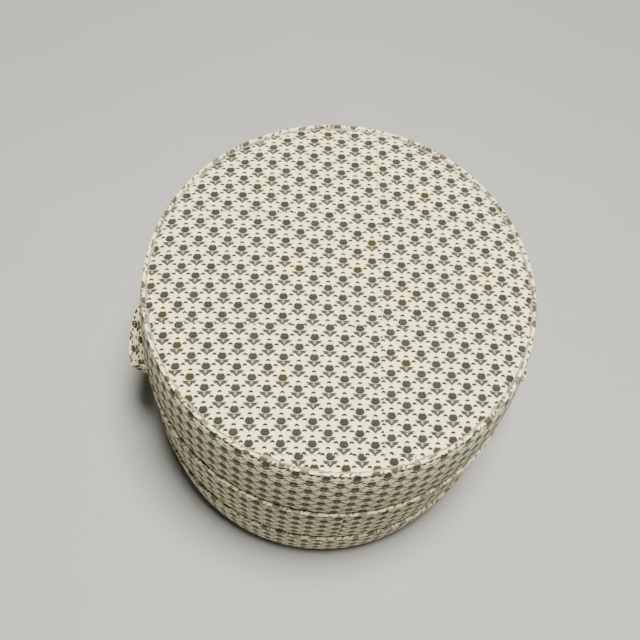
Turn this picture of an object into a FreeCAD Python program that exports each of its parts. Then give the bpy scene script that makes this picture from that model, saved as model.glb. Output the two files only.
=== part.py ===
import FreeCAD, Part
import math
import os

# Round padded hat box: a board drum covered in fabric, a lift-off lid and two strap handles.
# Frame: +Z up, origin at the middle of the underside, handles on the X axis. Millimetres.

# ---- driving dimensions ----
overall_radius = 190.0         # centreline of the piping round the top edge
top_piping_z = 311.6           # height of that piping
rim_piping_z = 199.3           # piping round the lid's lower rim
waist_piping_z = 87.2          # piping between the two bands of the base
neck_height = 62.0             # how far the base's neck stands up inside the lid

board = 2.4                    # greyboard of both walls
floor_board = 3.1
top_board = 2.4
cover = 1.0                    # printed cotton with its backing
lining = 0.6
floor_lining = 2.0             # the lining over the floor has a thin wadding under it
lid_clearance = 0.6            # radial gap between the lid's lining and the neck
seat_gap = 0.4                 # gap under the rim piping
seam_gap = 0.1                 # between a band's cover and the piping beside it
crown_rise = 7.0               # middle of the lid above its piping
crown_rounding = 9.0           # width of the rounded edge of the lid's pad

piping_radius = 2.0
cord_radius = 1.35
piping_slit = 0.3              # between the two plies of a piping's seam allowance
piping_flange = 1.1            # those two plies together
binding_radius = 1.1
binding_gap = 0.4              # from the bottom binding to the lower band
binding_drop = 0.15            # binding's underside above the bottom cover's

strap_width = 26.0
strap_thickness = 4.0
strap_reach = 22.0             # hinge line to the middle of the strap's bow
strap_droop = 36.0             # how far the strap hangs below level, degrees
strap_half_span = 40.0
strap_corner = 15.0
strap_knee = 2.0               # how much further the bow's middle reaches than its corners
strap_end_width = 9.0
strap_taper_start = 2.5        # distances from the hinge line where the taper starts and ends
strap_taper_end = 17.0
core_margin = 2.0              # edge of the strap to the edge of its filler
core_end_width = 6.0
hinge_x = 194.3
hinge_z = 178.0
tab_length = 20.0
tab_thickness = 1.6
tab_gap = 1.5                  # strap's edge to the tab sewn beside it
patch_margin = 4.0             # how far a patch inside reaches past the tab outside
patch_thickness = 0.8

# ---- radii and heights worked out from them ----
lid_wall_out = overall_radius + 0.6
lid_wall_in = lid_wall_out - board
lid_lining_in = lid_wall_in - lining
neck_out = lid_lining_in - lid_clearance
base_wall_out = neck_out - lining
base_wall_in = base_wall_out - board
base_lining_in = base_wall_in - lining

rim_radius = overall_radius + 5.6      # the wadding makes each band bulge past the top edge
waist_radius = overall_radius + 3.4
lid_bulge = overall_radius + 7.4
upper_bulge = overall_radius + 6.6
lower_bulge = overall_radius + 3.6
foot_radius = base_wall_out + binding_radius
band_tuck = 1.4                        # how far in from a piping a band's edge is sewn

shoulder_z = rim_piping_z - piping_radius - seat_gap
neck_top_z = rim_piping_z + neck_height
lid_wall_top_z = top_piping_z - 3.2
lid_board_top_z = lid_wall_top_z + top_board
crown_z = top_piping_z + crown_rise
half_flange = piping_flange / 2
floor_top_z = cover + floor_board

axis_start = FreeCAD.Vector(0, 0, 0)
axis_up = FreeCAD.Vector(0, 0, 1)


def point(radius, z):
    return FreeCAD.Vector(radius, 0, z)


def line(a, b):
    return Part.LineSegment(a, b).toShape()


def arc(a, middle, b):
    return Part.Arc(a, middle, b).toShape()


def turn(edges_or_face):
    """A full turn about Z of a closed outline in the XZ plane."""
    face = edges_or_face
    if isinstance(edges_or_face, list):
        face = Part.Face(Part.Wire(edges_or_face))
    return face.revolve(axis_start, axis_up, 360)


def hoop(inner, outer, low, high):
    corners = [point(inner, low), point(outer, low), point(outer, high), point(inner, high)]
    return turn([line(a, b) for a, b in zip(corners, corners[1:] + corners[:1])])


def disc(radius, low, high):
    return Part.makeCylinder(radius, high - low, point(0, low), axis_up)


def bulging_band(inner, foot, bulge, head):
    """A band whose outer side is one arc; foot, bulge and head are its (radius, z) points."""
    foot_in = point(inner, foot[1])
    head_in = point(inner, head[1])
    outline = [
        line(foot_in, point(*foot)),
        arc(point(*foot), point(*bulge), point(*head)),
        line(point(*head), head_in),
        line(head_in, foot_in),
    ]
    return turn(outline)


def padded_band(inner, foot, bulge, head):
    """The wadding of a band and the cover that lies on it."""
    padding = bulging_band(inner, (foot[0] - cover, foot[1]), (bulge[0] - cover, bulge[1]),
                           (head[0] - cover, head[1]))
    whole = bulging_band(inner, foot, bulge, head)
    return padding, whole.cut(padding)


def section_disc(radius, centre):
    circle = Part.Circle(point(*centre), FreeCAD.Vector(0, 1, 0), radius)
    return Part.Face(Part.Wire([circle.toShape()]))


def section_box(low, high):
    corners = [point(low[0], low[1]), point(high[0], low[1]), point(high[0], high[1]), point(low[0], high[1])]
    return Part.Face(Part.Wire([line(a, b) for a, b in zip(corners, corners[1:] + corners[:1])]))


def piping(radius, z, flange_in, flange_z):
    """Bias strip wrapped round a cord, its seam allowance running inwards; and the cord."""
    slit = piping_slit / 2
    centre = (radius, z)
    strip = section_disc(piping_radius, centre)
    strip = strip.fuse(section_box((flange_in, flange_z - half_flange), (radius, flange_z + half_flange)))
    strip = strip.cut(section_disc(cord_radius, centre))
    strip = strip.cut(section_box((flange_in - 1, flange_z - slit), (radius, flange_z + slit)))
    strip = strip.removeSplitter()
    cord = Part.makeTorus(radius, cord_radius - 0.05, point(0, z), axis_up)
    return turn(strip.Faces[0]), cord


def crowned_pad(radius, edge_low, edge_high, crown):
    """A disc with a rounded edge and a gently crowned top, a cap of a large sphere."""
    shoulder = edge_high + 0.55 * (crown - edge_high)
    cap_radius = radius - crown_rounding
    rise = crown - shoulder
    sphere = (cap_radius ** 2 + rise ** 2) / (2 * rise)
    cap_middle = crown - sphere + math.sqrt(sphere ** 2 - (cap_radius / 2) ** 2)
    rounding_middle = point(radius - 0.28 * crown_rounding, edge_high + 0.72 * (shoulder - edge_high))
    outline = [
        line(point(0, edge_low), point(radius, edge_low)),
        line(point(radius, edge_low), point(radius, edge_high)),
        arc(point(radius, edge_high), rounding_middle, point(cap_radius, shoulder)),
        arc(point(cap_radius, shoulder), point(cap_radius / 2, cap_middle), point(0, crown)),
        line(point(0, crown), point(0, edge_low)),
    ]
    return turn(outline)


def lid_pieces():
    pieces = {}
    pieces["lid_skirt_board"] = hoop(lid_wall_in, lid_wall_out, rim_piping_z, lid_wall_top_z)
    pieces["lid_top_board"] = disc(lid_wall_in, lid_wall_top_z, lid_board_top_z)
    pieces["lid_top_lining"] = disc(lid_wall_in, lid_wall_top_z - lining, lid_wall_top_z)
    pieces["lid_skirt_lining"] = hoop(lid_lining_in, lid_wall_in, rim_piping_z, lid_wall_top_z - lining)

    skin_radius = overall_radius - piping_radius - seam_gap
    pad_edge_z = lid_board_top_z + 0.4
    padding = crowned_pad(skin_radius - cover, lid_board_top_z, pad_edge_z, crown_z - cover)
    skin = crowned_pad(skin_radius, lid_board_top_z, pad_edge_z + 0.2, crown_z)
    pieces["lid_top_padding"] = padding
    pieces["lid_top_cover"] = skin.cut(padding)

    strip, cord = piping(overall_radius, top_piping_z, lid_wall_in, lid_wall_top_z + half_flange)
    pieces["lid_top_piping"] = strip
    pieces["lid_top_piping_cord"] = cord
    strip, cord = piping(rim_radius, rim_piping_z, lid_wall_out, rim_piping_z)
    pieces["lid_rim_piping"] = strip
    pieces["lid_rim_piping_cord"] = cord

    padding, skin = padded_band(
        lid_wall_out,
        (rim_radius - band_tuck, rim_piping_z + piping_radius + seam_gap),
        (lid_bulge, 0.55 * rim_piping_z + 0.45 * top_piping_z),
        (lid_wall_out + band_tuck, lid_wall_top_z + 0.9),
    )
    pieces["lid_skirt_padding"] = padding
    pieces["lid_skirt_cover"] = skin
    return pieces


def upper_band_points():
    foot = (waist_radius - band_tuck / 2, waist_piping_z + piping_radius + seam_gap)
    bulge = (upper_bulge, 0.5 * (waist_piping_z + rim_piping_z))
    head = (rim_radius - band_tuck - seat_gap, shoulder_z)
    return foot, bulge, head


def base_pieces():
    pieces = {}
    pieces["base_bottom_cover"] = disc(base_wall_out, 0, cover)
    pieces["base_floor_board"] = disc(base_wall_in, cover, floor_top_z)
    pieces["base_wall_board"] = hoop(base_wall_in, base_wall_out, cover, neck_top_z)
    pieces["base_neck_cover"] = hoop(base_wall_out, neck_out, shoulder_z, neck_top_z)
    pieces["base_wall_lining"] = hoop(base_lining_in, base_wall_in, floor_top_z, neck_top_z)
    pieces["base_floor_lining"] = disc(base_lining_in, floor_top_z, floor_top_z + floor_lining)
    binding_middle = point(0, binding_radius + binding_drop)
    pieces["base_bottom_binding"] = Part.makeTorus(foot_radius, binding_radius, binding_middle, axis_up)

    padding, skin = padded_band(base_wall_out, *upper_band_points())
    pieces["base_upper_padding"] = padding
    pieces["base_upper_cover"] = skin
    padding, skin = padded_band(
        base_wall_out,
        (foot_radius + binding_gap, 2 * binding_radius + binding_gap),
        (lower_bulge, 0.58 * waist_piping_z),
        (waist_radius - 1.0, waist_piping_z - piping_radius - seam_gap),
    )
    pieces["base_lower_padding"] = padding
    pieces["base_lower_cover"] = skin

    strip, cord = piping(waist_radius, waist_piping_z, base_wall_out, waist_piping_z)
    pieces["base_waist_piping"] = strip
    pieces["base_waist_piping_cord"] = cord
    return pieces


def bow_outline(inset):
    """A D-shaped loop in the XY plane: legs along X from x = 0, joined by a shallow arc."""
    half = strap_half_span - inset
    reach = strap_reach + strap_thickness / 2 - inset
    corner = strap_corner - inset
    knee = reach - corner - strap_knee
    cosine = math.cos(math.radians(45))
    outline = []
    for side in (1, -1):
        start = FreeCAD.Vector(0, side * half, 0)
        bend_start = FreeCAD.Vector(knee, side * half, 0)
        bend_middle = FreeCAD.Vector(knee + corner * cosine, side * (half - corner * (1 - cosine)), 0)
        bend_end = FreeCAD.Vector(knee + corner, side * (half - corner), 0)
        outline.append([line(start, bend_start), arc(bend_start, bend_middle, bend_end)])
    upper, lower = outline
    top_end = upper[1].Vertexes[-1].Point
    low_end = lower[1].Vertexes[-1].Point
    front = arc(top_end, FreeCAD.Vector(reach, 0, 0), low_end)
    back = line(lower[0].Vertexes[0].Point, upper[0].Vertexes[0].Point)
    return Part.Face(Part.Wire([upper[0], upper[1], front, lower[1], lower[0], back]))


def bow(width, thickness, end_width):
    """A flat strap bent into the loop, tapered to its two ends, lying in the XY plane."""
    inset = (strap_thickness - thickness) / 2
    ring = bow_outline(inset).cut(bow_outline(inset + thickness))
    band = ring.extrude(FreeCAD.Vector(0, 0, width))
    band.translate(FreeCAD.Vector(0, 0, -width / 2))
    far = strap_reach + strap_thickness
    half = width / 2
    upper = [(strap_taper_start, end_width / 2), (strap_taper_end, half), (far, half)]
    taper = upper + [(x, -z) for x, z in reversed(upper)]
    corners = [FreeCAD.Vector(x, -strap_half_span - 1, z) for x, z in taper]
    side_view = Part.Face(Part.Wire([line(a, b) for a, b in zip(corners, corners[1:] + corners[:1])]))
    return band.common(side_view.extrude(FreeCAD.Vector(0, 2 * strap_half_span + 2, 0)))


def handle_window(middle_y, length, height):
    """A box on the +X side that takes one tab or patch out of a whole band."""
    near_wall = 0.8 * overall_radius
    corner = FreeCAD.Vector(near_wall, middle_y - length / 2, hinge_z - height / 2)
    return Part.makeBox(0.4 * overall_radius, length, height, corner)


def handle_pieces():
    """The right-hand handle; the left one is its half turn about Z."""
    core = bow(strap_width - 2 * core_margin, strap_thickness / 2, core_end_width)
    strap = bow(strap_width, strap_thickness, strap_end_width).cut(core)
    for shape in (core, strap):
        shape.rotate(axis_start, FreeCAD.Vector(0, 1, 0), strap_droop)
        shape.translate(FreeCAD.Vector(hinge_x, 0, hinge_z))

    foot, bulge, head = upper_band_points()
    raised = [(radius + tab_thickness, z) for radius, z in (foot, bulge, head)]
    tab_band = bulging_band(base_wall_out, *raised).cut(bulging_band(base_wall_out, foot, bulge, head))
    patch_low = hinge_z - strap_width / 2 - patch_margin
    patch_high = hinge_z + strap_width / 2 + patch_margin
    patch_band = hoop(base_lining_in - patch_thickness, base_lining_in, patch_low, patch_high)
    tabs = []
    patches = []
    for side in (1, -1):
        tab_middle = side * (strap_half_span + tab_gap + tab_length / 2)
        tabs.append(tab_band.common(handle_window(tab_middle, tab_length, strap_width)))
        patch_window = handle_window(tab_middle, tab_length + 2 * patch_margin, patch_high - patch_low)
        patches.append(patch_band.common(patch_window))
    return {
        "strap": strap,
        "core": core,
        "tabs": Part.makeCompound([solid for tab in tabs for solid in tab.Solids]),
        "inner_patches": Part.makeCompound([solid for patch in patches for solid in patch.Solids]),
    }


def both_handles():
    pieces = {}
    for name, shape in handle_pieces().items():
        pieces["handle_right_" + name] = shape
        other = shape.copy()
        other.rotate(axis_start, axis_up, 180)
        pieces["handle_left_" + name] = other
    return pieces


def single_solids(shape):
    """The shape as a plain solid, or as a compound of its solids when it has several."""
    if len(shape.Solids) == 1:
        return shape.Solids[0]
    return Part.makeCompound(shape.Solids)


os.makedirs("parts", exist_ok=True)
all_pieces = {**lid_pieces(), **base_pieces(), **both_handles()}
for name, shape in all_pieces.items():
    shape = single_solids(shape)
    if not shape.isValid() or not shape.Solids:
        raise ValueError(name + " is not a valid solid")
    shape.exportStep("parts/" + name + ".step")
    print(f"{name}: {len(shape.Solids)} solid, {shape.Volume / 1000:.1f} cm3")
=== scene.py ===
import math

import bmesh
import bpy
import numpy as np
from mathutils import Matrix, Vector, noise


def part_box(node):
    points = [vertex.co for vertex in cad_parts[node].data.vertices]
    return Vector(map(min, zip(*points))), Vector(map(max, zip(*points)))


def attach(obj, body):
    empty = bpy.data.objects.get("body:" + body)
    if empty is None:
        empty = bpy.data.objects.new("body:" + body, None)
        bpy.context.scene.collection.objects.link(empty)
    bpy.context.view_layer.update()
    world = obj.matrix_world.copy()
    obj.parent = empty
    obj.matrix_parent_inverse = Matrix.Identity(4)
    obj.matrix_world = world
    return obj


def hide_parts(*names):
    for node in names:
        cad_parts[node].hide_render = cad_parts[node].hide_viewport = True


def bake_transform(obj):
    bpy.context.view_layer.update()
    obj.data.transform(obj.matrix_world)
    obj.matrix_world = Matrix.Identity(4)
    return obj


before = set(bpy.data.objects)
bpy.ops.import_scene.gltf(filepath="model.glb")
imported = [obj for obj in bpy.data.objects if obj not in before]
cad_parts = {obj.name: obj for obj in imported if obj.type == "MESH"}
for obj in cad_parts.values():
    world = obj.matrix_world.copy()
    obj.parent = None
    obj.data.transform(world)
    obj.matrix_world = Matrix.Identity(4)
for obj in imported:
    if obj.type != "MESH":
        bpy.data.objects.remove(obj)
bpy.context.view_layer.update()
mm = 0.001
fullTurn = 2 * math.pi


# A hat box of greyboard covered in printed cotton. The boards are the frame's own nodes, and every fabric
# piece is made here round the places that the frame gives. Lengths are millimetres until a mesh is built.

def ringOf(node):  # middle radius, height and section radius of a round cord
    low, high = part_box(node)
    section = (high.z - low.z) / 2
    return (high.x - section) / mm, (high.z + low.z) / 2 / mm, section / mm


def outerRadius(node):
    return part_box(node)[1].x / mm


def lowZ(node):
    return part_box(node)[0].z / mm


def highZ(node):
    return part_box(node)[1].z / mm


topRadius, topZ, cordRadius = ringOf("lid_top_piping_cord")
rimRadius, rimZ, cordRadius = ringOf("lid_rim_piping_cord")
waistRadius, waistZ, cordRadius = ringOf("base_waist_piping_cord")
footRadius, footZ, footBinding = ringOf("base_bottom_binding")
pipingRadius = cordRadius + 0.3
lidWallIn = outerRadius("lid_top_board")
lidWallOut = outerRadius("lid_skirt_board")
baseWallOut = outerRadius("base_wall_board")
neckOut = outerRadius("base_neck_cover")
baseLiningOut = outerRadius("base_floor_board")
neckTop = highZ("base_wall_board")
shoulderZ = highZ("base_upper_cover")
floorTop = highZ("base_floor_board")
lidBoardTop = highZ("lid_top_board")
lidBoardLow = lowZ("lid_top_board")
handleMiddleZ = (lowZ("handle_right_tabs") + highZ("handle_right_tabs")) / 2


def shade(red, green, blue):  # a colour as a paint chart gives it, made linear
    def linear(part):
        part = part / 255
        return part / 12.92 if part <= 0.04045 else ((part + 0.055) / 1.055) ** 2.4
    return (linear(red), linear(green), linear(blue), 1.0)


class Wire:  # one socket: arithmetic on it adds Math nodes
    def __init__(self, finish, socket):
        self.finish = finish
        self.socket = socket

    def maths(self, operation, *values):
        return self.finish.node("ShaderNodeMath", {"operation": operation}, dict(enumerate(values)))

    def __add__(self, other):
        return self.maths("ADD", self, other)

    def __radd__(self, other):
        return self.maths("ADD", other, self)

    def __sub__(self, other):
        return self.maths("SUBTRACT", self, other)

    def __rsub__(self, other):
        return self.maths("SUBTRACT", other, self)

    def __mul__(self, other):
        return self.maths("MULTIPLY", self, other)

    def __rmul__(self, other):
        return self.maths("MULTIPLY", other, self)

    def __truediv__(self, other):
        return self.maths("DIVIDE", self, other)

    def __abs__(self):
        return self.maths("ABSOLUTE", self)

    def __gt__(self, other):
        return self.maths("GREATER_THAN", self, other)

    def __lt__(self, other):
        return self.maths("LESS_THAN", self, other)

    def floor(self):
        return self.maths("FLOOR", self)

    def sin(self):
        return self.maths("SINE", self)

    def larger(self, other):
        return self.maths("MAXIMUM", self, other)

    def wrap(self, pitch):  # distance from the nearest multiple of the pitch
        return self - (self / pitch + 0.5).floor() * pitch

    def ramp(self, start, end):  # 0 at start, 1 at end
        values = {"Value": self, "From Min": start, "From Max": end}
        return self.finish.node("ShaderNodeMapRange", {"clamp": True}, values)


class Finish:  # a material and its nodes
    def __init__(self, name):
        self.material = bpy.data.materials.new(name)
        self.material.use_nodes = True
        self.tree = self.material.node_tree
        self.tree.nodes.clear()

    def node(self, kind, settings=None, values=None, out=0):
        made = self.tree.nodes.new(kind)
        for key, value in (settings or {}).items():
            setattr(made, key, value)
        for key, value in (values or {}).items():
            if isinstance(value, Wire):
                self.tree.links.new(value.socket, made.inputs[key])
            else:
                made.inputs[key].default_value = value
        return Wire(self, made.outputs[out]) if made.outputs else None

    def blend(self, factor, first, second):  # first colour at 0, second at 1
        return self.node("ShaderNodeMix", {"data_type": "RGBA"}, {0: factor, 6: first, 7: second}, 2)

    def tint(self, colour, amount):  # a colour made darker or lighter by a value
        grey = self.node("ShaderNodeCombineXYZ", {}, {0: amount, 1: amount, 2: amount})
        return self.node("ShaderNodeVectorMath", {"operation": "MULTIPLY"}, {0: colour, 1: grey})

    def clouds(self, vector, scale, detail=2.0, rough=0.5):
        values = {"Vector": vector, "Scale": scale, "Detail": detail, "Roughness": rough}
        return self.node("ShaderNodeTexNoise", {"noise_dimensions": "3D"}, values)

    def cloth(self):  # the piece's own map, in millimetres of cloth
        both = self.node("ShaderNodeUVMap", {"uv_map": clothMap})
        return both, self.node("ShaderNodeSeparateXYZ", {}, {0: both}, 0), \
            self.node("ShaderNodeSeparateXYZ", {}, {0: both}, 1)

    def surface(self, colour, roughness, height, relief, constants):
        bump = self.node("ShaderNodeBump", {}, {"Strength": 1.0, "Distance": relief * mm, "Height": height})
        values = {"Base Color": colour, "Roughness": roughness, "Normal": bump, **constants}
        shader = self.node("ShaderNodeBsdfPrincipled", {}, values)
        self.node("ShaderNodeOutputMaterial", {}, {"Surface": shader})
        return self.material


clothMap = "cloth"


printSettings = {
    "repeat": 28.31, "rise": 20.61,            # one flower to the next across, and up a column
    "ground": shade(250, 242, 201), "groundWarm": shade(248, 236, 188),
    "bud": shade(72, 67, 58), "budDark": shade(28, 26, 22), "budGold": shade(66, 55, 34),
    "leaf": shade(78, 77, 69), "leafDark": shade(40, 40, 35), "caret": shade(40, 37, 31),
    "thread": 0.42, "goldenShare": 0.065, "ragged": 0.55,
}
paintedLightTopBiasInks = {  # paler inks on the top piping: painted light for the lamp caught on the top of the cord, kept less pale than on the rim and waist pipings
    "bud": shade(98, 91, 77), "budDark": shade(58, 53, 44), "budGold": shade(98, 86, 60),
    "leaf": shade(118, 114, 100), "leafDark": shade(80, 76, 65), "caret": shade(80, 74, 62),
}
# paler inks on the rim and waist pipings: painted light for the lamp caught where they stand proud of the
# bands
paintedLightBiasInks = {
    "bud": shade(140, 132, 112), "budDark": shade(100, 92, 76), "budGold": shade(132, 118, 84),
    "leaf": shade(158, 152, 132), "leafDark": shade(124, 118, 100), "caret": shade(120, 112, 92),
}
flower = {  # strokes of one side: middle, half size, tilt
    "bud": ((0, 2.3), (4.6, 3.5)), "petal": ((1.4, 3.3), (2.5, 3.0)), "budFoot": (-1.3, -0.5),
    "leaves": [((3.7, -1.7), (3.8, 1.0), 9), ((3.1, -3.4), (3.2, 0.95), 10), ((1.2, -5.0), (1.9, 0.9), 14),
               ((0, -6.3), (1.4, 0.85), 0)],
    "stem": ((0, -3.0), (3.2, 3.1)), "stemInk": 0.62,
    "curlMiddle": (0.3, 1.6), "curlPitch": 3.6, "budShadow": ((0.0, -0.2), (2.2, 1.0)),
    "caretLeg": ((0.9, -0.1), (1.6, 1.05), -38), "caretTip": ((0, 0.3), (1.1, 1.1)),
    "caretBelow": 0.75, "caretBeside": 0.5,
}
screenSettings = {  # the printing screen's own size, and what a new one adds
    "height": 124.4, "top": 45.5, "edge": 36.4, "sideways": 2.455, "down": 0.725,
    "edgeSideways": 0.45, "edgeUp": 3.11, "leanAcross": 0.0086, "leanUp": 0.0102,
}


def oval(x, y, middle, half, tilt=0.0, soft=0.28):  # 1 inside a slanted oval
    turn = math.radians(tilt)
    across = (x - middle[0]) * math.cos(turn) + (y - middle[1]) * math.sin(turn)
    upward = (y - middle[1]) * math.cos(turn) - (x - middle[0]) * math.sin(turn)
    across = across / half[0]
    upward = upward / half[1]
    return (across * across + upward * upward).ramp(1 + soft, 1 - soft)


def caret(x, y):
    return oval(abs(x), y, *flower["caretLeg"], 0.3).larger(oval(x, y, *flower["caretTip"]))


def screenSteps(x, y, settings):  # where one printing screen ends and the next begins the rows step a little
    repeat, rise = settings["repeat"], settings["rise"]
    evenColumn = abs((x - 1.0).wrap(repeat)) < 9.0
    nearCaret = abs((y - 4.7).wrap(rise / 2)) < 1.9
    block = ((y + screenSettings["top"] + evenColumn * 2.8) / screenSettings["height"]).floor()
    beyond = x > screenSettings["edge"] + nearCaret * 2.2
    x = x + block * screenSettings["sideways"] - beyond * screenSettings["edgeSideways"]
    y = y - block * screenSettings["down"] + beyond * screenSettings["edgeUp"]
    return x - y * screenSettings["leanAcross"], y - x * screenSettings["leanUp"]


def weave(finish, x, y, both, pitch):  # height of a plain weave with uneven threads
    slub = finish.clouds(both, 0.35, 1.0)
    warp = (x * (fullTurn / pitch) + slub * 5).sin()
    weft = (y * (fullTurn / pitch) + slub * 5).sin()
    return warp * weft * 0.5 + finish.clouds(both, 1.9, 2.0) * 0.9


def printedCotton(name, shift=(0.0, 0.0), turn=0.0, screens=False, settings=printSettings):
    finish = Finish(name)
    both, x, y = finish.cloth()
    height = weave(finish, x, y, both, settings["thread"])
    if turn:
        cosine, sine = math.cos(math.radians(turn)), math.sin(math.radians(turn))
        x, y = x * cosine + y * sine, y * cosine - x * sine
    if screens:
        x, y = screenSteps(x, y, settings)
    x, y = x - shift[0], y - shift[1]
    x = x + (finish.clouds(both, 0.9, 2.0) - 0.5) * settings["ragged"]  # ink never has a clean edge
    y = y + (finish.clouds(both, 1.1, 2.0) - 0.5) * settings["ragged"]

    repeat, rise = settings["repeat"], settings["rise"]
    column = (x / (repeat / 2) + 0.5).floor()
    odd = column.maths("FLOORED_MODULO", column, 2.0)
    across = x - column * (repeat / 2)
    raised = y - odd * (rise / 2)
    row = (raised / rise + 0.5).floor()
    upward = raised - row * rise
    cell = finish.node("ShaderNodeCombineXYZ", {}, {0: column, 1: row, 2: 0.0})
    chance = finish.node("ShaderNodeTexWhiteNoise", {"noise_dimensions": "2D"}, {"Vector": cell})
    side = abs(across)

    bud = oval(across, upward, *flower["bud"], 0, 0.25).larger(oval(side, upward, *flower["petal"], 0, 0.25))
    bud = bud * upward.ramp(*flower["budFoot"])
    leaves = oval(across, upward, *flower["stem"]) * flower["stemInk"]
    for middle, half, tilt in flower["leaves"]:
        leaves = leaves.larger(oval(side, upward, middle, half, tilt))
    carets = caret(across, (raised + (rise / 2 + flower["caretBelow"])).wrap(rise))
    carets = carets.larger(caret((x - repeat / 4).wrap(repeat / 2),
                                 (y - (rise / 4 - flower["caretBeside"])).wrap(rise / 2)))

    # petals are dark streaks curling round the middle of the bud
    curlX, curlY = across - flower["curlMiddle"][0], upward - flower["curlMiddle"][1]
    around = curlY.maths("ARCTAN2", curlY, curlX)
    reach = curlX.maths("SQRT", curlX * curlX + curlY * curlY)
    curl = (reach * flower["curlPitch"] + around * 2.0 + chance * 6.0).sin()
    mottle = finish.clouds(both, 0.8, 3.0, 0.65)
    petalDark = (curl * 0.5 + mottle * 2.2).ramp(0.85, 1.5)
    petalDark = petalDark.larger(oval(across, upward, *flower["budShadow"], 0, 0.5) * 0.8)
    golden = chance > 1 - settings["goldenShare"]
    budColour = finish.blend(golden, settings["bud"], settings["budGold"])
    budColour = finish.blend(petalDark * (1 - golden * 0.45), budColour, settings["budDark"])
    budColour = finish.tint(budColour, (chance * 7.0).sin() * 0.13 + 1.0)
    leafColour = finish.blend(mottle.ramp(0.4, 0.62), settings["leaf"], settings["leafDark"])

    ground = finish.blend(finish.clouds(both, 0.012, 2.0).ramp(0.35, 0.7) * 0.35,
                          settings["ground"], settings["groundWarm"])
    speck = finish.clouds(both, 0.75, 3.0, 0.7) * 0.16 + finish.clouds(both, 0.07, 2.0) * 0.1 + 0.87
    ground = finish.tint(ground, speck)
    ink = mottle.ramp(0.16, 0.4) * 0.25 + 0.75  # the ink is thin in places
    colour = finish.blend(carets * ink, ground, settings["caret"])
    colour = finish.blend(leaves * ink, colour, leafColour)
    colour = finish.blend(bud * (ink * 0.2 + 0.8), colour, budColour)
    roughness = finish.clouds(both, 0.3, 2.0) * 0.12 + 0.8
    constants = {"Sheen Weight": 0.12, "Sheen Roughness": 0.5, "IOR": 1.45, "Specular IOR Level": 0.25}
    return finish.surface(colour, roughness, height, 0.09, constants)


def plainCotton(name, colour, warmer, pitch=0.5, relief=0.1):
    finish = Finish(name)
    both, x, y = finish.cloth()
    height = weave(finish, x, y, both, pitch)
    slub = finish.clouds(finish.node("ShaderNodeVectorMath", {"operation": "MULTIPLY"},
                                     {0: both, 1: (0.04, 1.2, 1.0)}), 1.0, 2.0)
    tone = finish.blend(finish.clouds(both, 0.02, 3.0).ramp(0.3, 0.7), colour, warmer)
    speck = finish.clouds(both, 1.1, 2.0) * 0.1 + slub * 0.16 + 0.86
    constants = {"Sheen Weight": 0.15, "Sheen Roughness": 0.5, "Specular IOR Level": 0.2}
    roughness = slub * 0.15 + 0.78
    return finish.surface(finish.tint(tone, speck), roughness, height + slub, relief, constants)


def greyboard(name):
    finish = Finish(name)
    place = finish.node("ShaderNodeTexCoord", {}, {}, 3)
    fibres = finish.clouds(place, 900.0, 4.0, 0.7)
    flecks = finish.clouds(place, 2600.0, 1.0)
    tone = finish.blend(fibres.ramp(0.3, 0.7), shade(128, 119, 104), shade(157, 148, 132))
    tone = finish.blend((flecks > 0.68) * 0.5, tone, shade(92, 84, 72))
    constants = {"Specular IOR Level": 0.15}
    return finish.surface(tone, fibres * 0.2 + 0.75, fibres + flecks * 0.4, 0.12, constants)


def threadFinish(name):
    finish = Finish(name)
    x, y = finish.cloth()[1:]
    twist = ((x * 3.0 + y * 4.0) * 2.0).sin()
    tone = finish.blend(twist * 0.5 + 0.5, shade(226, 219, 198), shade(190, 181, 156))
    return finish.surface(tone, twist * 0.05 + 0.7, twist, 0.05, {"Sheen Weight": 0.1})


def meshPiece(name, points, faces, corners, material):  # points and corners in millimetres
    mesh = bpy.data.meshes.new(name)
    mesh.from_pydata((np.asarray(points) * mm).tolist(), [], faces)
    layer = mesh.uv_layers.new(name=clothMap)
    layer.data.foreach_set("uv", np.asarray(corners, dtype=np.float32).ravel())
    mesh.shade_smooth()
    mesh.materials.append(material)
    piece = bpy.data.objects.new(name, mesh)
    bpy.context.scene.collection.objects.link(piece)
    return piece


def gridPiece(name, points, cloth, material, closedAcross=False):
    # points[i, j] run i along and j across; cloth has one more row or column where the grid closes
    along, across = points.shape[:2]
    faces = []
    corners = []
    for i in range(along - 1):
        for j in range(across if closedAcross else across - 1):
            k = (j + 1) % across
            faces.append((i * across + j, (i + 1) * across + j, (i + 1) * across + k, i * across + k))
            corners += [cloth[i, j], cloth[i + 1, j], cloth[i + 1, j + 1], cloth[i, j + 1]]
    return meshPiece(name, points.reshape(-1, 3), faces, corners, material)


def hoopPiece(name, section, clothUp, columns, seamAt, radius, material, closedSection=True):
    # section(angle) gives a list of (radius, height); it is carried once round the axis
    angles = np.linspace(0, fullTurn, columns, endpoint=False)
    sections = np.array([section(seamAt + a) for a in angles])
    turns = seamAt + angles
    points = np.stack([sections[:, :, 0] * np.cos(turns)[:, None],
                       sections[:, :, 0] * np.sin(turns)[:, None],
                       sections[:, :, 1]], axis=2)
    count = points.shape[1]
    faces = []
    corners = []
    for i in range(columns):
        k = (i + 1) % columns
        left = angles[i] * radius
        right = (angles[i] + fullTurn / columns) * radius
        for j in range(count if closedSection else count - 1):
            m = (j + 1) % count
            low, high = clothUp[j], clothUp[j + 1]
            faces.append((i * count + j, k * count + j, k * count + m, i * count + m))
            corners += [(left, low), (right, low), (right, high), (left, high)]
    return meshPiece(name, points.reshape(-1, 3), faces, corners, material)


def ripple(angle, height, scale, seed):  # smooth noise on a cylinder, from -1 to 1
    return noise.noise(Vector((math.cos(angle) * scale, math.sin(angle) * scale, height + seed)))


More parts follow.
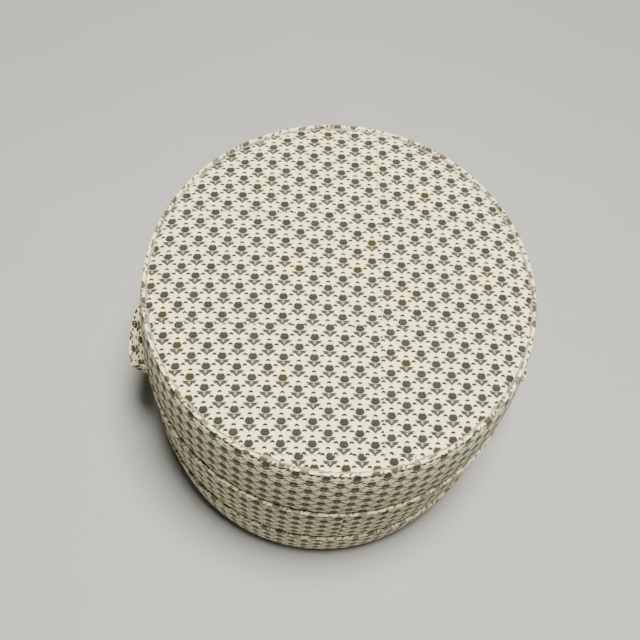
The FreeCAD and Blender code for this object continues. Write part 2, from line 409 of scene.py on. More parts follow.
def subdivide(piece, levels=1):
    modifier = piece.modifiers.new("Subdivision", "SUBSURF")
    modifier.levels = levels
    modifier.render_levels = levels
    modifier.boundary_smooth = "PRESERVE_CORNERS"


swelling = {"pressure": 4.0, "mass": 0.2, "stiffness": 12.0, "bending": 0.4, "spare": 0.006, "frames": 20}


def swell(piece, sewn, furthest):  # wadding pushes the sewn cover out, and the mesh keeps the result
    group = piece.vertex_groups.new(name="sewn")
    group.add([int(n) for n in sewn], 1.0, "REPLACE")
    cloth = piece.modifiers.new("Cloth", "CLOTH")
    cloth.settings.quality = 4
    cloth.settings.mass = swelling["mass"]
    cloth.settings.tension_stiffness = swelling["stiffness"]
    cloth.settings.compression_stiffness = swelling["stiffness"]
    cloth.settings.shear_stiffness = swelling["stiffness"] / 3
    cloth.settings.bending_stiffness = swelling["bending"]
    cloth.settings.air_damping = 2.0
    cloth.settings.use_pressure = True
    cloth.settings.uniform_pressure_force = swelling["pressure"]
    cloth.settings.effector_weights.gravity = 0.0
    cloth.settings.vertex_group_mass = "sewn"
    cloth.settings.shrink_min = -swelling["spare"]
    cloth.collision_settings.use_collision = False
    count = len(piece.data.vertices) * 3
    before = np.zeros(count, np.float32)
    piece.data.vertices.foreach_get("co", before)
    for step in range(1, swelling["frames"] + 1):
        bpy.context.scene.frame_set(step)
    shaped = piece.evaluated_get(bpy.context.evaluated_depsgraph_get())
    after = np.zeros(count, np.float32)
    shaped.data.vertices.foreach_get("co", after)
    piece.modifiers.remove(cloth)
    bpy.context.scene.frame_set(1)
    move = (after - before).reshape(-1, 3)
    far = np.linalg.norm(move, axis=1)
    cap = furthest * mm
    kept = cap * np.tanh(far / cap) / np.maximum(far, 1e-9)
    piece.data.vertices.foreach_set("co", (before.reshape(-1, 3) + move * kept[:, None]).ravel())
    piece.data.update()
    print(f"{piece.name} swelled: median {np.median(far) / mm:.2f} mm, most {far.max() / mm:.2f} mm")


def place(piece, body, slot, *nodes):
    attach(piece, body)
    if nodes:
        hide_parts(*nodes)
    return piece


lidTop = {
    "cells": 84, "rings": 12,
    "seamIn": 1.5, "seamDrop": 1.6, "crown": 8.2, "fullness": 0.46,
    "puckers": 0.5, "puckerReach": 9.0, "unevenness": 0.35,
    "swellMost": 0.9,
}


def lidTopHeight(x, y, edge):
    far = min(math.hypot(x, y) / edge, 1.0)
    angle = math.atan2(y, x)
    rise = lidTop["crown"] * (1 - far ** 2.2) ** lidTop["fullness"]
    fromSeam = (1 - far) * edge
    near = math.exp(-fromSeam / lidTop["puckerReach"]) * min(fromSeam / 1.5, 1.0)
    fold = ripple(angle, 0.0, 16.0, 3.1) + 0.6 * ripple(angle, 0.0, 31.0, 9.4)
    broad = noise.noise(Vector((x * 0.012, y * 0.012, 5.0))) * min(fromSeam / 30, 1.0)
    rise += fold * near * lidTop["puckers"] * 1.6 + broad * lidTop["unevenness"]
    return topZ - lidTop["seamDrop"] + rise


def join(faces, first, second):  # a strip of faces between two loops
    for k in range(len(first)):
        m = (k + 1) % len(first)
        faces.append((first[k], second[k], second[m], first[m]))


def discPlan(edge, cells, rings, innerShare=0.8, crowding=1.7):
    # a square net pressed into a circle, with rings round it that crowd towards the edge
    inner = edge * innerShare
    sweep = np.linspace(-math.pi / 4, math.pi / 4, cells + 1)
    share = math.sqrt(2) * np.sin(sweep)
    plan = [(a * math.sqrt(1 - b * b / 2) * inner, b * math.sqrt(1 - a * a / 2) * inner)
            for b in share for a in share]
    wide = cells + 1
    faces = [(i * wide + j, i * wide + j + 1, (i + 1) * wide + j + 1, (i + 1) * wide + j)
             for i in range(cells) for j in range(cells)]
    loop = list(range(wide))
    loop += [i * wide + cells for i in range(1, wide)]
    loop += [cells * wide + j for j in range(cells - 1, -1, -1)]
    loop += [i * wide for i in range(cells - 1, 0, -1)]
    net = (list(plan), list(faces), list(loop))
    directions = [math.atan2(plan[n][1], plan[n][0]) for n in loop]
    for ring in range(1, rings + 1):
        radius = inner + (edge - inner) * (1 - (1 - ring / rings) ** crowding)
        outer = list(range(len(plan), len(plan) + len(loop)))
        plan += [(radius * math.cos(a), radius * math.sin(a)) for a in directions]
        join(faces, loop, outer)
        loop = outer
    return plan, faces, loop, net


def discPad(name, edge, cells, rings, heightAt, underZ, material):  # a closed pad lying on a board
    plan, faces, outer, (netPlan, netFaces, netLoop) = discPlan(edge, cells, rings)
    points = [(x, y, heightAt(x, y)) for x, y in plan]
    wall = list(range(len(points), len(points) + len(outer)))
    points += [(points[n][0], points[n][1], underZ) for n in outer]
    join(faces, outer, wall)
    start = len(points)
    points += [(x, y, underZ) for x, y in netPlan]
    join(faces, wall, [start + n for n in netLoop])
    faces += [tuple(start + n for n in reversed(face)) for face in netFaces]
    corners = [points[n][:2] for face in faces for n in face]
    return meshPiece(name, points, faces, corners, material), range(outer[0], len(points))


def makeLidTop(material):
    edge = topRadius - lidTop["seamIn"]
    piece, sewn = discPad("lidTopCover", edge, lidTop["cells"], lidTop["rings"],
                          lambda x, y: lidTopHeight(x, y, edge), lidBoardTop + 0.2, material)
    swell(piece, sewn, lidTop["swellMost"])
    subdivide(piece)
    return place(piece, "lid", "printed_cotton", "lid_top_cover", "lid_top_padding")


bands = {
    "lidSkirtCover": {
        "body": "lid", "nodes": ("lid_skirt_cover", "lid_skirt_padding"), "wall": lidWallOut,
        "foot": (rimRadius - 0.7, rimZ + pipingRadius - 0.3),
        "head": (topRadius + 0.7, topZ - pipingRadius + 0.1),
        "bulge": 4.2, "seamAt": 118.0, "seed": 2.0,
    },
    "baseUpperCover": {
        "body": "base", "nodes": ("base_upper_cover", "base_upper_padding"), "wall": baseWallOut,
        "foot": (waistRadius - 0.8, waistZ + pipingRadius - 0.3), "head": (rimRadius - 0.8, shoulderZ - 0.1),
        "bulge": 3.1, "seamAt": -86.0, "seed": 7.0,
    },
    "baseLowerCover": {
        "body": "base", "nodes": ("base_lower_cover", "base_lower_padding"), "wall": baseWallOut,
        "foot": (footRadius + 0.4, footZ + footBinding),
        "head": (waistRadius - 0.7, waistZ - pipingRadius + 0.1),
        "bulge": 2.6, "seamAt": 96.0, "seed": 13.0,
    },
}
bandShape = {
    "columns": 372, "rowHeight": 4.6, "fullness": 0.6, "puckers": 0.42, "puckerReach": 8.0,
    "unevenness": 0.35, "seamDepth": 0.7, "seamWidth": 1.6,
    "swellMost": 0.7,
}


def bandRadius(band, share):  # plain radius of a band at a share of its height
    low, high = band["foot"][0], band["head"][0]
    swelled = math.sin(math.pi * min(max(share, 0), 1)) ** bandShape["fullness"]
    return low + (high - low) * share + band["bulge"] * swelled


def makeBand(name, band, material):
    low, high = band["foot"][1], band["head"][1]
    rows = max(10, round((high - low) / bandShape["rowHeight"]))
    shares = []
    for n in range(rows + 1):  # rows crowd towards both seams
        swing = math.cos(math.pi * n / rows)
        crowded = 0.5 - 0.5 * swing * (0.25 + 0.75 * abs(swing) ** 0.4)
        shares.append(0.55 * crowded + 0.45 * n / rows)
    seamAt = math.radians(band["seamAt"])

    def section(angle):
        outline = []
        for share in shares:
            fromEdge = min(share, 1 - share) * (high - low)
            edgeSeed = band["seed"] + (0.0 if share < 0.5 else 4.0)
            near = math.exp(-fromEdge / bandShape["puckerReach"]) * min(fromEdge / 1.2, 1.0)
            fold = ripple(angle, 0.0, 15.0, edgeSeed) + 0.6 * ripple(angle, 0.0, 30.0, edgeSeed + 1)
            broad = ripple(angle, share * 1.6, 2.6, band["seed"] + 20) * min(fromEdge / 12, 1.0)
            fromSeam = abs((angle - seamAt + math.pi) % fullTurn - math.pi) * bandRadius(band, 0.5)
            groove = bandShape["seamDepth"] * math.exp(-(fromSeam / bandShape["seamWidth"]) ** 2)
            radius = bandRadius(band, share) + fold * near * bandShape["puckers"] * 1.6
            radius += broad * bandShape["unevenness"] - groove * min(fromEdge / 3, 1.0)
            outline.append((radius, low + share * (high - low)))
        inner = band["wall"] + 0.3
        outline += [(inner, high - 0.2), (inner, (high + low) / 2), (inner, low + 0.2)]
        return outline

    outline = [(bandRadius(band, share), low + share * (high - low)) for share in shares]
    up = [0.0]
    for (r0, z0), (r1, z1) in zip(outline, outline[1:]):
        up.append(up[-1] + math.hypot(r1 - r0, z1 - z0))
    up += [up[-1] + 5, up[-1] + 5 + (high - low) / 2, up[-1] + 5 + (high - low), up[-1] + 10 + (high - low)]
    middle = bandRadius(band, 0.5)
    piece = hoopPiece(name, section, up, bandShape["columns"], seamAt, middle, material)
    count = len(shares) + 3
    sewnRows = (0, rows, rows + 1, rows + 2, rows + 3)
    fixed = [i * count + j for i in range(bandShape["columns"]) for j in sewnRows]
    swell(piece, fixed, bandShape["swellMost"])
    subdivide(piece)
    return place(piece, band["body"], "printed_cotton", *band["nodes"])


pipings = {  # proud: how far it stands out past its CAD ring; tail: where the seam allowance points
    "lidTopPiping": {
        "body": "lid", "nodes": ("lid_top_piping", "lid_top_piping_cord"), "radius": topRadius,
        "height": topZ, "section": pipingRadius, "proud": 0.0, "flat": False,
        "endsAt": -35.5, "tail": 216.0, "seed": 1.0,
    },
    "lidRimPiping": {
        "body": "lid", "nodes": ("lid_rim_piping", "lid_rim_piping_cord"), "radius": rimRadius,
        "height": rimZ, "section": pipingRadius + 0.2, "proud": 2.1, "flat": False,
        "endsAt": -86.5, "tail": 180.0, "seed": 2.0,
    },
    "baseWaistPiping": {
        "body": "base", "nodes": ("base_waist_piping", "base_waist_piping_cord"), "radius": waistRadius,
        "height": waistZ, "section": pipingRadius + 0.2, "proud": 1.9, "flat": False,
        "endsAt": 101.0, "tail": 180.0, "seed": 3.0,
    },
    "baseBottomBinding": {  # flat: it lies on the floor, so it only wavers upwards
        "body": "base", "nodes": ("base_bottom_binding",), "radius": footRadius,
        "height": footZ, "section": footBinding, "proud": 0.0, "flat": True,
        "endsAt": 77.0, "tail": 135.0, "seed": 4.0,
    },
}
pipingShape = {
    "columns": 620, "around": 16, "overlap": 9.0, "dive": 3.4, "climb": 0.9, "sink": 0.8, "diveOver": 15.0,
    "waver": 0.28, "crease": 0.05, "creasePitch": 6.5, "tailReach": 1.55,
}


def makePiping(name, piping, material):
    shape = pipingShape
    radius = piping["radius"]
    length = fullTurn * radius + 2 * shape["overlap"]
    along = np.linspace(-shape["overlap"], length - shape["overlap"], shape["columns"])
    around = np.linspace(0, fullTurn, shape["around"], endpoint=False)
    tail = math.radians(piping["tail"])
    points = np.zeros((len(along) + 2, len(around), 3))
    cloth = np.zeros((len(along) + 2, len(around) + 1, 2))
    for i, travel in enumerate(along):
        angle = math.radians(piping["endsAt"]) + travel / radius
        fromStart = travel + shape["overlap"]
        fromEnd = length - shape["overlap"] - travel
        first = max(0.0, 1 - fromStart / shape["diveOver"]) ** 2
        last = max(0.0, 1 - fromEnd / shape["diveOver"]) ** 2
        crossing = max(0.0, 1 - fromEnd / (2 * shape["diveOver"]))
        waver = shape["waver"] * ripple(angle, 0.0, 9.0, piping["seed"])
        middle = radius + piping["proud"] + waver - shape["dive"] * (first + last)
        lift = shape["waver"] * ripple(angle, 0.0, 7.0, piping["seed"] + 5)
        lift += shape["climb"] * math.sin(math.pi * crossing) - shape["sink"] * (first + last)
        height = piping["height"] + (0.5 * abs(lift) + 0.1 if piping["flat"] else lift)
        for j, turn in enumerate(around):
            crease = math.sin(fullTurn * (travel + turn * piping["section"] * 1.3) / shape["creasePitch"])
            uneven = 1 + shape["crease"] * (0.5 * crease + ripple(angle, turn, 40.0, piping["seed"] + 8))
            toTail = max(0.0, math.cos(turn - tail)) ** 6
            reach = piping["section"] * uneven * (1 + (shape["tailReach"] - 1) * toTail)
            out = middle + reach * math.cos(turn)
            points[i + 1, j] = (out * math.cos(angle), out * math.sin(angle), height + reach * math.sin(turn))
        cloth[i + 1, :, 0] = travel
    for j in range(len(around) + 1):
        cloth[:, j, 1] = j * fullTurn / len(around) * piping["section"]
    points[0] = points[1].mean(axis=0)  # both ends are closed
    points[-1] = points[-2].mean(axis=0)
    cloth[0, :, 0] = cloth[1, :, 0]
    cloth[-1, :, 0] = cloth[-2, :, 0]
    piece = gridPiece(name, points, cloth, material, closedAcross=True)
    weld(piece)
    return place(piece, piping["body"], "piping_cotton", *piping["nodes"])


linings = {
    "thick": 0.42, "columns": 300, "wave": 0.22, "overlap": 12.0, "lapRise": 0.35,
    "baseSeamAt": 90.0, "lidSeamAt": -95.0, "discCells": 40, "discRings": 5,
}


def pathLengths(path):
    up = [0.0]
    for (r0, z0), (r1, z1) in zip(path, path[1:]):
        up.append(up[-1] + math.hypot(r1 - r0, z1 - z0))
    return up


def spaced(start, end, count):  # count points of a straight run, without its last one
    return [(start[0] + (end[0] - start[0]) * n / count, start[1] + (end[1] - start[1]) * n / count)
            for n in range(count)]


def liningSheet(name, path, seamAt, inward, material, seed):
    # inward says how far a point of the path may stand off towards the inside of the box
    seam = math.radians(seamAt)

    def section(angle):
        fromSeam = abs((angle - seam + math.pi) % fullTurn - math.pi) * path[0][0]
        lap = linings["lapRise"] if fromSeam < linings["overlap"] / 2 else 0
        outline = []
        for (radius, z), free in zip(path, inward):
            wave = 0.5 + 0.5 * ripple(angle, z * 0.006, 7.0, seed)
            wave += 0.25 * ripple(angle, z * 0.03, 22.0, seed + 3)
            outline.append((radius - free * (linings["wave"] * 2.2 * max(wave, 0) + lap), z))
        return outline

    piece = hoopPiece(name, section, pathLengths(path), linings["columns"], seam, path[0][0], material, False)
    thicken = piece.modifiers.new("Thickness", "SOLIDIFY")
    thicken.thickness = linings["thick"] * mm
    thicken.offset = 1.0
    flat = ((fullTurn * path[0][0] + linings["overlap"]) * mm, pathLengths(path)[-1] * mm)
    return piece


def makeBaseLining(material):
    inside = baseLiningOut - 0.12
    outside = neckOut - linings["thick"] - 0.12
    top = neckTop + 0.1
    path = spaced((inside, floorTop + 0.5), (inside, neckTop - 0.6), 22)
    path += [(inside, neckTop - 0.6), (inside + 0.35, top), (outside - 0.4, top), (outside, neckTop - 0.6)]
    path += spaced((outside, neckTop - 4), (outside, shoulderZ + 0.3), 8) + [(outside, shoulderZ + 0.3)]
    free = [1.0] * 21 + [0.3, 0.0] + [0.0] * (len(path) - 23)
    piece = liningSheet("baseLining", path, linings["baseSeamAt"], free, material, 3.0)
    return place(piece, "base", "lining_cotton", "base_wall_lining", "base_neck_cover")


def makeLidLining(material):
    inside = lidWallIn - 0.08
    low = rimZ - 0.35
    path = [(lidWallOut + 0.6, low), (lidWallIn + 0.7, low), (inside + 0.15, low + 0.3)]
    path += spaced((inside, low + 1.2), (inside, lidBoardLow - 0.7), 18) + [(inside, lidBoardLow - 0.7)]
    free = [0.0] * 4 + [0.12] * (len(path) - 4)
    piece = liningSheet("lidSkirtLining", path, linings["lidSeamAt"], free, material, 8.0)
    place(piece, "lid", "lining_cotton", "lid_skirt_lining")
    edge = lidWallIn - 0.6
    plan, faces = discPlan(edge, linings["discCells"], linings["discRings"])[:2]
    points = []
    for x, y in plan:
        sag = max(0.0, 0.4 * noise.noise(Vector((x * 0.02, y * 0.02, 2.0))))
        sag *= min(1, (edge - math.hypot(x, y)) / 15)
        points.append((x, y, lidBoardLow - 0.1 - sag))
    corners = [points[n][:2] for face in faces for n in face]
    disc = meshPiece("lidTopLining", points, faces, corners, material)
    thicken = disc.modifiers.new("Thickness", "SOLIDIFY")
    thicken.thickness = linings["thick"] * mm
    place(disc, "lid", "lining_cotton", "lid_top_lining")


floorPad = {
    "cells": 56, "rings": 8, "crown": 2.6, "unevenness": 0.35,
    "tufts": [(0, 0), (60, 60), (60, -60), (-60, 60), (-60, -60)],  # they keep the wadding in place
    "tuftDepth": 1.7, "tuftSpread": 120.0,
}


def makeFloorPad(material):
    edge = baseLiningOut - 0.9
    under = floorTop + 0.15

    def height(x, y):
        far = min(math.hypot(x, y) / edge, 1.0)
        soft = (1 - far ** 12) ** 0.5
        tuft = sum(math.exp(-((x - u) ** 2 + (y - v) ** 2) / floorPad["tuftSpread"])
                   for u, v in floorPad["tufts"])
        uneven = floorPad["unevenness"] * noise.noise(Vector((x * 0.03, y * 0.03, 9.0)))
        return under + 0.3 + soft * (floorPad["crown"] + uneven - floorPad["tuftDepth"] * tuft)

    piece = discPad("baseFloorPad", edge, floorPad["cells"], floorPad["rings"], height, under, material)[0]
    subdivide(piece)
    place(piece, "base", "lining_cotton", "base_floor_lining")


def makeUnderside(material):
    edge = baseWallOut + 0.3
    plan, faces = discPlan(edge, linings["discCells"], linings["discRings"])[:2]
    faces = [tuple(reversed(face)) for face in faces]
    points = [(x, y, 0.62 + 0.12 * noise.noise(Vector((x * 0.03, y * 0.03, 1.0)))) for x, y in plan]
    corners = [points[n][:2] for face in faces for n in face]
    piece = meshPiece("baseBottomCover", points, faces, corners, material)
    thicken = piece.modifiers.new("Thickness", "SOLIDIFY")
    thicken.thickness = linings["thick"] * mm
    thicken.offset = 1.0
    place(piece, "base", "lining_cotton", "base_bottom_cover")


strap = {
    "halfWidth": 12.8, "halfThick": 1.7, "tailThick": 1.1, "pinch": 0.2, "droop": 36.0, "droopOver": 9.0,
    # from the sewn end to the middle of the bow: how far along the wall, and how far out from it
    "route": [(62.0, 1.2), (54.0, 1.2), (46.0, 1.3), (41.5, 2.5), (39.0, 6.5), (38.0, 11.2), (35.0, 15.6),
              (28.0, 17.6), (14.0, 18.2), (0.0, 18.2)],
    "steps": 150, "around": 28, "stitch": 2.5, "stitchGap": 0.9, "stitchIn": 2.7, "thread": 0.3,
    "boxFrom": 3.0, "boxTo": 16.5,  # each tail is sewn down by a box of stitches, from its end
}


def strapWall(y):
    radius = bandRadius(bands["baseUpperCover"], (handleMiddleZ - waistZ) / (rimZ - waistZ))
    return math.sqrt(radius * radius - y * y)


def strapLine(steps):
    # middle of the strap, its width direction and how far it stands off the wall, for the +X handle
    half = strap["route"]
    knots = [(-y, out) for y, out in half] + [(y, out) for y, out in reversed(half[:-1])]
    knots = [Vector((y, out, 0)) for y, out in knots]
    found = []
    for n in range(steps + 1):
        t = n / steps * (len(knots) - 1)
        k = min(int(t), len(knots) - 2)
        u = t - k
        p0, p1, p2, p3 = (knots[min(max(k + d, 0), len(knots) - 1)] for d in (-1, 0, 1, 2))
        at = 0.5 * (2 * p1 + (p2 - p0) * u + (2 * p0 - 5 * p1 + 4 * p2 - p3) * u * u
                    + (3 * p1 - p0 - 3 * p2 + p3) * u ** 3)
        y, out = at.x, at.y
        ease = min(max((out - strap["route"][0][1]) / strap["droopOver"], 0.0), 1.0)
        droop = math.radians(strap["droop"]) * ease * ease * (3 - 2 * ease)
        middle = Vector((strapWall(y) + out * math.cos(droop), y, handleMiddleZ - out * math.sin(droop)))
        found.append((middle, Vector((math.sin(droop), 0, math.cos(droop))), out))
    return found


def strapFrames(steps):
    line = strapLine(steps)
    frames = []
    travel = 0.0
    for n, (middle, width, out) in enumerate(line):
        before, after = line[max(n - 1, 0)][0], line[min(n + 1, steps)][0]
        along = (after - before).normalized()
        face = along.cross(width).normalized()
        width = face.cross(along).normalized()
        if n:
            travel += (middle - line[n - 1][0]).length
        frames.append((middle, width, face, out, travel))
    return frames


def strapSize(out, travel):
    ease = min(max((out - 1.4) / 6.0, 0.0), 1.0)
    pinch = strap["pinch"] * math.exp(-((out - 5.0) / 3.5) ** 2)
    wide = strap["halfWidth"] * (1 - pinch) + 0.3 * math.sin(travel * 0.09)
    thick = strap["tailThick"] + (strap["halfThick"] - strap["tailThick"]) * ease
    return wide, thick


def makeStrap(name, sign, prefix, material, threadMaterial):
    frames = strapFrames(strap["steps"])
    around = strap["around"]
    points = np.zeros((len(frames) + 2, around, 3))
    cloth = np.zeros((len(frames) + 2, around + 1, 2))
    for i, (middle, width, face, out, travel) in enumerate(frames):
        wide, thick = strapSize(out, travel)
        for j in range(around + 1):
            turn = fullTurn * j / around
            cosine, sine = math.cos(turn), math.sin(turn)
            across = math.copysign(abs(cosine) ** 0.42, cosine) * wide
            rise = math.copysign(abs(sine) ** 0.62, sine) * thick
            groove = math.exp(-((abs(across) - wide + strap["stitchIn"]) / 0.8) ** 2)
            rise *= 1 - 0.2 * groove
            crease = 0.25 * noise.noise(Vector((travel * 0.09, across * 0.12, 4.0 + 9 * sign)))
            at = middle + width * across + face * (rise + crease)
            if j < around:
                points[i + 1, j] = at
            onFace = sine >= 0 and j <= around / 2
            cloth[i + 1, j] = (travel, wide - across if onFace else 3 * wide + across)
    points[0] = points[1].mean(axis=0)
    points[-1] = points[-2].mean(axis=0)
    cloth[0], cloth[-1] = cloth[1], cloth[-2]
    points[:, :, :2] *= sign
    piece = gridPiece(name, points, cloth, material, closedAcross=True)
    weld(piece)
    subdivide(piece)
    stitches = makeStitches(name + "Stitching", strapStitches(frames), sign, threadMaterial)
    start = (sign * (strapWall(40) + 2.0) * mm, 0, handleMiddleZ * mm)
    end = (sign * (strapWall(40) + 11.0) * mm, 0, handleMiddleZ * mm)
    for made in (piece, stitches):
        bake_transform(made)
    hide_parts(prefix + "_strap", prefix + "_core", prefix + "_tabs")


def weld(piece):
    tidy = bmesh.new()
    tidy.from_mesh(piece.data)
    bmesh.ops.remove_doubles(tidy, verts=tidy.verts, dist=0.01 * mm)
    bmesh.ops.recalc_face_normals(tidy, faces=tidy.faces)
    tidy.to_mesh(piece.data)
    tidy.free()


def strapStitches(frames):
    # ends of each stitch and the direction it stands out in: two rows on both faces, and a box on each tail
    found = []
    travels = [f[-1] for f in frames]
    length = travels[-1]
    step = strap["stitch"] + strap["stitchGap"]

    def at(travel, share, side):
        k = min(max(int(np.searchsorted(travels, travel)), 1), len(frames) - 1)
        u = (travel - travels[k - 1]) / max(travels[k] - travels[k - 1], 1e-6)
        a, b = frames[k - 1], frames[k]
        wide, thick = strapSize(a[3] + (b[3] - a[3]) * u, travel)
        middle = a[0].lerp(b[0], u)
        width, out = a[1].lerp(b[1], u), a[2].lerp(b[2], u) * side
        return middle + width * share * (wide - strap["stitchIn"]) + out * (thick * 0.86 + 0.06), out

    for side in (1, -1):
        for share in (1, -1):
            travel = strap["boxFrom"]
            while travel < length - strap["boxFrom"] - strap["stitch"]:
                first, out = at(travel, share, side)
                last, out = at(travel + strap["stitch"], share, side)
                found.append((first, last, out))
                travel += step
    for travel in (strap["boxFrom"], strap["boxTo"], length - strap["boxTo"], length - strap["boxFrom"]):
        count = round(2 * (strap["halfWidth"] - strap["stitchIn"]) / step)
        for n in range(count):
            for side in (1, -1):
                first, out = at(travel, -1 + 2 * n / count, side)
                last, out = at(travel, -1 + 2 * (n + 0.75) / count, side)
                found.append((first, last, out))
    return found


def makeStitches(name, stitches, sign, material):
    points, faces, corners = [], [], []
    sides = 6
    profile = [(0.0, 0.25, -0.35), (0.22, 0.9, 0.05), (0.78, 0.9, 0.05), (1.0, 0.25, -0.35)]
    for first, last, out in stitches:
        along = last - first
        sideways = along.cross(out).normalized()
        start = len(points)
        for share, size, lift in profile:
            for k in range(sides):
                turn = fullTurn * k / sides
                at = first + along * share + out * strap["thread"] * (lift + 0.75 * size * math.sin(turn))
                at += sideways * strap["thread"] * size * math.cos(turn)
                points.append((at.x * sign, at.y * sign, at.z))
        for ring in range(len(profile) - 1):
            for k in range(sides):
                m = (k + 1) % sides
                a = start + ring * sides
                faces.append((a + k, a + m, a + sides + m, a + sides + k))
                near, far = k * 0.3, k * 0.3 + 0.3
                corners += [(ring, near), (ring, far), (ring + 1, far), (ring + 1, near)]
        for ring in (0, len(profile) - 1):
            loop = [start + ring * sides + k for k in range(sides)]
            faces.append(tuple(loop if ring else reversed(loop)))
            corners += [(ring, 0.0)] * sides
    piece = meshPiece(name, points, faces, corners, material)
    weld(piece)
    return piece


patches = {"width": 28.0, "height": 34.0, "thick": 0.75, "along": 51.5, "stitchIn": 3.0}


def makePatches(name, sign, prefix, material, threadMaterial):  # what the strap's stitches go through, inside
    inner = baseLiningOut - 0.55
    points, faces, corners, stitches = [], [], [], []
    rows, across = 14, 12
    for side in (1, -1):
        start = len(points)
        for layer in (0, 1):
            for i in range(rows + 1):
                for j in range(across + 1):
                    u, v = 2 * j / across - 1, 2 * i / rows - 1
                    edge = max(abs(u), abs(v))
                    reach = 1 - 0.04 * (u * v) ** 2 * 2
                    y = side * patches["along"] + u * patches["width"] / 2 * reach
                    z = handleMiddleZ + v * patches["height"] / 2 * reach
                    uneven = 1 + 0.15 * noise.noise(Vector((u * 3, v * 3, side)))
                    lift = patches["thick"] * (1 - edge ** 8) ** 0.5 * uneven
                    radius = inner - (lift + 0.25 if layer else 0.0)
                    angle = y / inner
                    points.append((radius * math.cos(angle) * sign, radius * math.sin(angle) * sign, z))
        wide = across + 1
        size = wide * (rows + 1)
        for layer in (0, 1):
            for i in range(rows):
                for j in range(across):
                    a = start + layer * size + i * wide + j
                    face = (a, a + 1, a + wide + 1, a + wide)
                    faces.append(face if layer == 0 else tuple(reversed(face)))
        rim = list(range(across)) + [i * wide + across for i in range(rows)]
        rim += [rows * wide + j for j in range(across, 0, -1)] + [i * wide for i in range(rows, 0, -1)]
        for k in range(len(rim)):
            a, b = start + rim[k], start + rim[(k + 1) % len(rim)]
            faces.append((b, a, a + size, b + size))
        halfWide = patches["width"] / 2 - patches["stitchIn"]
        halfHigh = patches["height"] / 2 - patches["stitchIn"]
        box = [(-halfWide, -halfHigh), (halfWide, -halfHigh), (halfWide, halfHigh), (-halfWide, halfHigh)]
        for (u0, v0), (u1, v1) in zip(box, box[1:] + box[:1]):
            count = round(math.hypot(u1 - u0, v1 - v0) / (strap["stitch"] + strap["stitchGap"]))
            for n in range(count):
                ends = []
                for share in (n / count, (n + 0.75) / count):
                    angle = (side * patches["along"] + u0 + (u1 - u0) * share) / inner
                    radius = inner - patches["thick"] - 0.3
                    ends.append(Vector((radius * math.cos(angle), radius * math.sin(angle),
                                        handleMiddleZ + v0 + (v1 - v0) * share)))
                stitches.append((ends[0], ends[1], -Vector((ends[0].x, ends[0].y, 0)).normalized()))
    corners = [(points[n][1], points[n][2]) for face in faces for n in face]
    piece = meshPiece(name, points, faces, corners, material)
    weld(piece)
    place(piece, "base", "lining_cotton", prefix + "_inner_patches")
    place(makeStitches(name + "Stitching", stitches, sign, threadMaterial), "base", "cotton_cord")


def makeStage():
    finish = Finish("paleFloor")
    cloudy = finish.clouds(finish.node("ShaderNodeTexCoord", {}, {}, 3), 3.0, 3.0)
    tone = finish.blend(cloudy, shade(166, 166, 166), shade(174, 174, 174))
    material = finish.surface(tone, cloudy * 0.1 + 0.7, cloudy, 0.2, {"Specular IOR Level": 0.2})
    mesh = bpy.data.meshes.new("floor")
    half = 4.0
    corners = [(-half, -half, 0), (half, -half, 0), (half, half, 0), (-half, half, 0)]
    mesh.from_pydata(corners, [], [(0, 1, 2, 3)])
    mesh.materials.append(material)
    floor = bpy.data.objects.new("floor", mesh)
    bpy.context.scene.collection.objects.link(floor)


lights = {
    "overhead": {"at": (0.1, -0.14, 2.3), "size": 0.6, "power": 132.0, "colour": (1.0, 0.985, 0.87)},
    "right": {"at": (1.8, 0.2, 1.0), "size": 1.2, "power": 1.0, "colour": (1.0, 0.97, 0.92)},
    "left": {"at": (-1.8, 0.1, 1.0), "size": 1.4, "power": 1.0, "colour": (0.93, 0.96, 1.0)},
}
sky = {"colour": (0.72, 0.85, 1.0, 1.0), "strength": 0.045}


def makeLights():
    middle = Vector((0, 0, 0.2))
    for name, light in lights.items():
        data = bpy.data.lights.new(name, "AREA")
        data.shape = "DISK"
        data.size = light["size"]
        data.energy = light["power"]
        data.color = light["colour"]
        lamp = bpy.data.objects.new(name, data)
        lamp.location = light["at"]
        lamp.rotation_euler = (middle - lamp.location).to_track_quat("-Z", "Y").to_euler()
        bpy.context.scene.collection.objects.link(lamp)
    world = bpy.data.worlds.new("studio")
    world.use_nodes = True
    background = world.node_tree.nodes["Background"]
    background.inputs["Color"].default_value = sky["colour"]
    background.inputs["Strength"].default_value = sky["strength"]
    bpy.context.scene.world = world


camera = {"at": (-0.0689, -0.42517, 1.1059), "heading": -7.17, "tilt": 26.13, "roll": 8.64, "lens": 52.33}


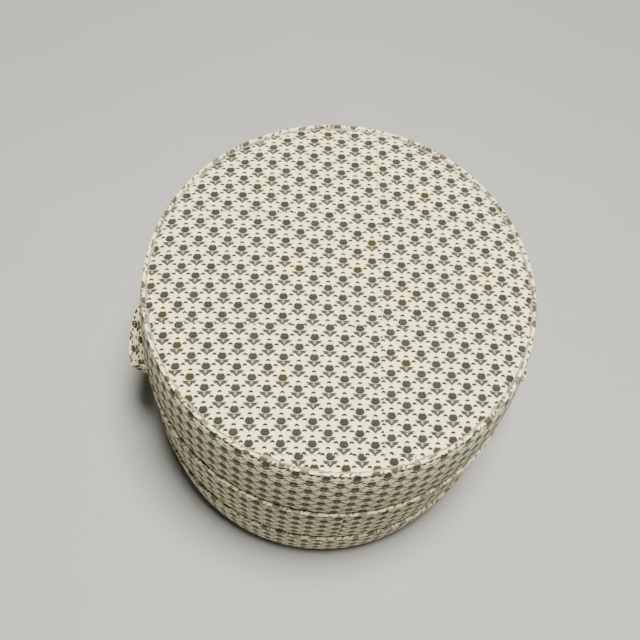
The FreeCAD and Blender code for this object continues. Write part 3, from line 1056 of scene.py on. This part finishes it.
def makeCamera():
    data = bpy.data.cameras.new("camera")
    data.lens = camera["lens"]
    eye = bpy.data.objects.new("camera", data)
    heading = Matrix.Rotation(math.radians(camera["heading"]), 4, "Z")
    tilt = Matrix.Rotation(math.radians(camera["tilt"]), 4, "X")
    roll = Matrix.Rotation(math.radians(camera["roll"]), 4, "Z")
    eye.matrix_world = Matrix.Translation(camera["at"]) @ heading @ tilt @ roll
    bpy.context.scene.collection.objects.link(eye)
    bpy.context.scene.camera = eye


makeCamera()
makeLights()
makeStage()
print("camera, lights and floor made")

topPrint = printedCotton("printedCottonTop", (1.03, 0.16), screens=True)
makeLidTop(topPrint)
print("lid top made")

bandPrints = {
    "lidSkirtCover": printedCotton("printedCottonSkirt", (0.0, 0.0)),
    "baseUpperCover": printedCotton("printedCottonUpper", (0.0, 0.0)),
    "baseLowerCover": printedCotton("printedCottonLower", (0.0, 0.0)),
}
for name, band in bands.items():
    makeBand(name, band, bandPrints[name])
    print(name, "made")

# the piping prints take the paler inks above: painted light
pipingPrint = printedCotton("biasCotton", (3.0, 2.0), turn=45,
                            settings={**printSettings, **paintedLightBiasInks})
topPipingPrint = printedCotton("biasCottonTop", (3.0, 2.0), turn=45,
                               settings={**printSettings, **paintedLightTopBiasInks})
for name, piping in pipings.items():
    makePiping(name, piping, topPipingPrint if name == "lidTopPiping" else pipingPrint)
    print(name, "made")

liningCotton = plainCotton("liningCotton", shade(222, 213, 190), shade(230, 223, 205))
undersideCotton = plainCotton("undersideCotton", shade(205, 197, 177), shade(214, 207, 190), 0.7, 0.14)
thread = threadFinish("thread")
makeBaseLining(liningCotton)
makeLidLining(liningCotton)
makeFloorPad(liningCotton)
makeUnderside(undersideCotton)
print("linings made")

strapPrint = printedCotton("printedCottonStrap", (4.0, 3.0))
makeStrap("handleRightStrap", 1, "handle_right", strapPrint, thread)
makeStrap("handleLeftStrap", -1, "handle_left", strapPrint, thread)
makePatches("handleRightInnerPatches", 1, "handle_right", liningCotton, thread)
makePatches("handleLeftInnerPatches", -1, "handle_left", liningCotton, thread)
print("handles made")

board = greyboard("greyboard")
for name in ("lid_top_board", "lid_skirt_board", "base_floor_board", "base_wall_board"):
    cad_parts[name].data.materials.clear()
    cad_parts[name].data.materials.append(board)
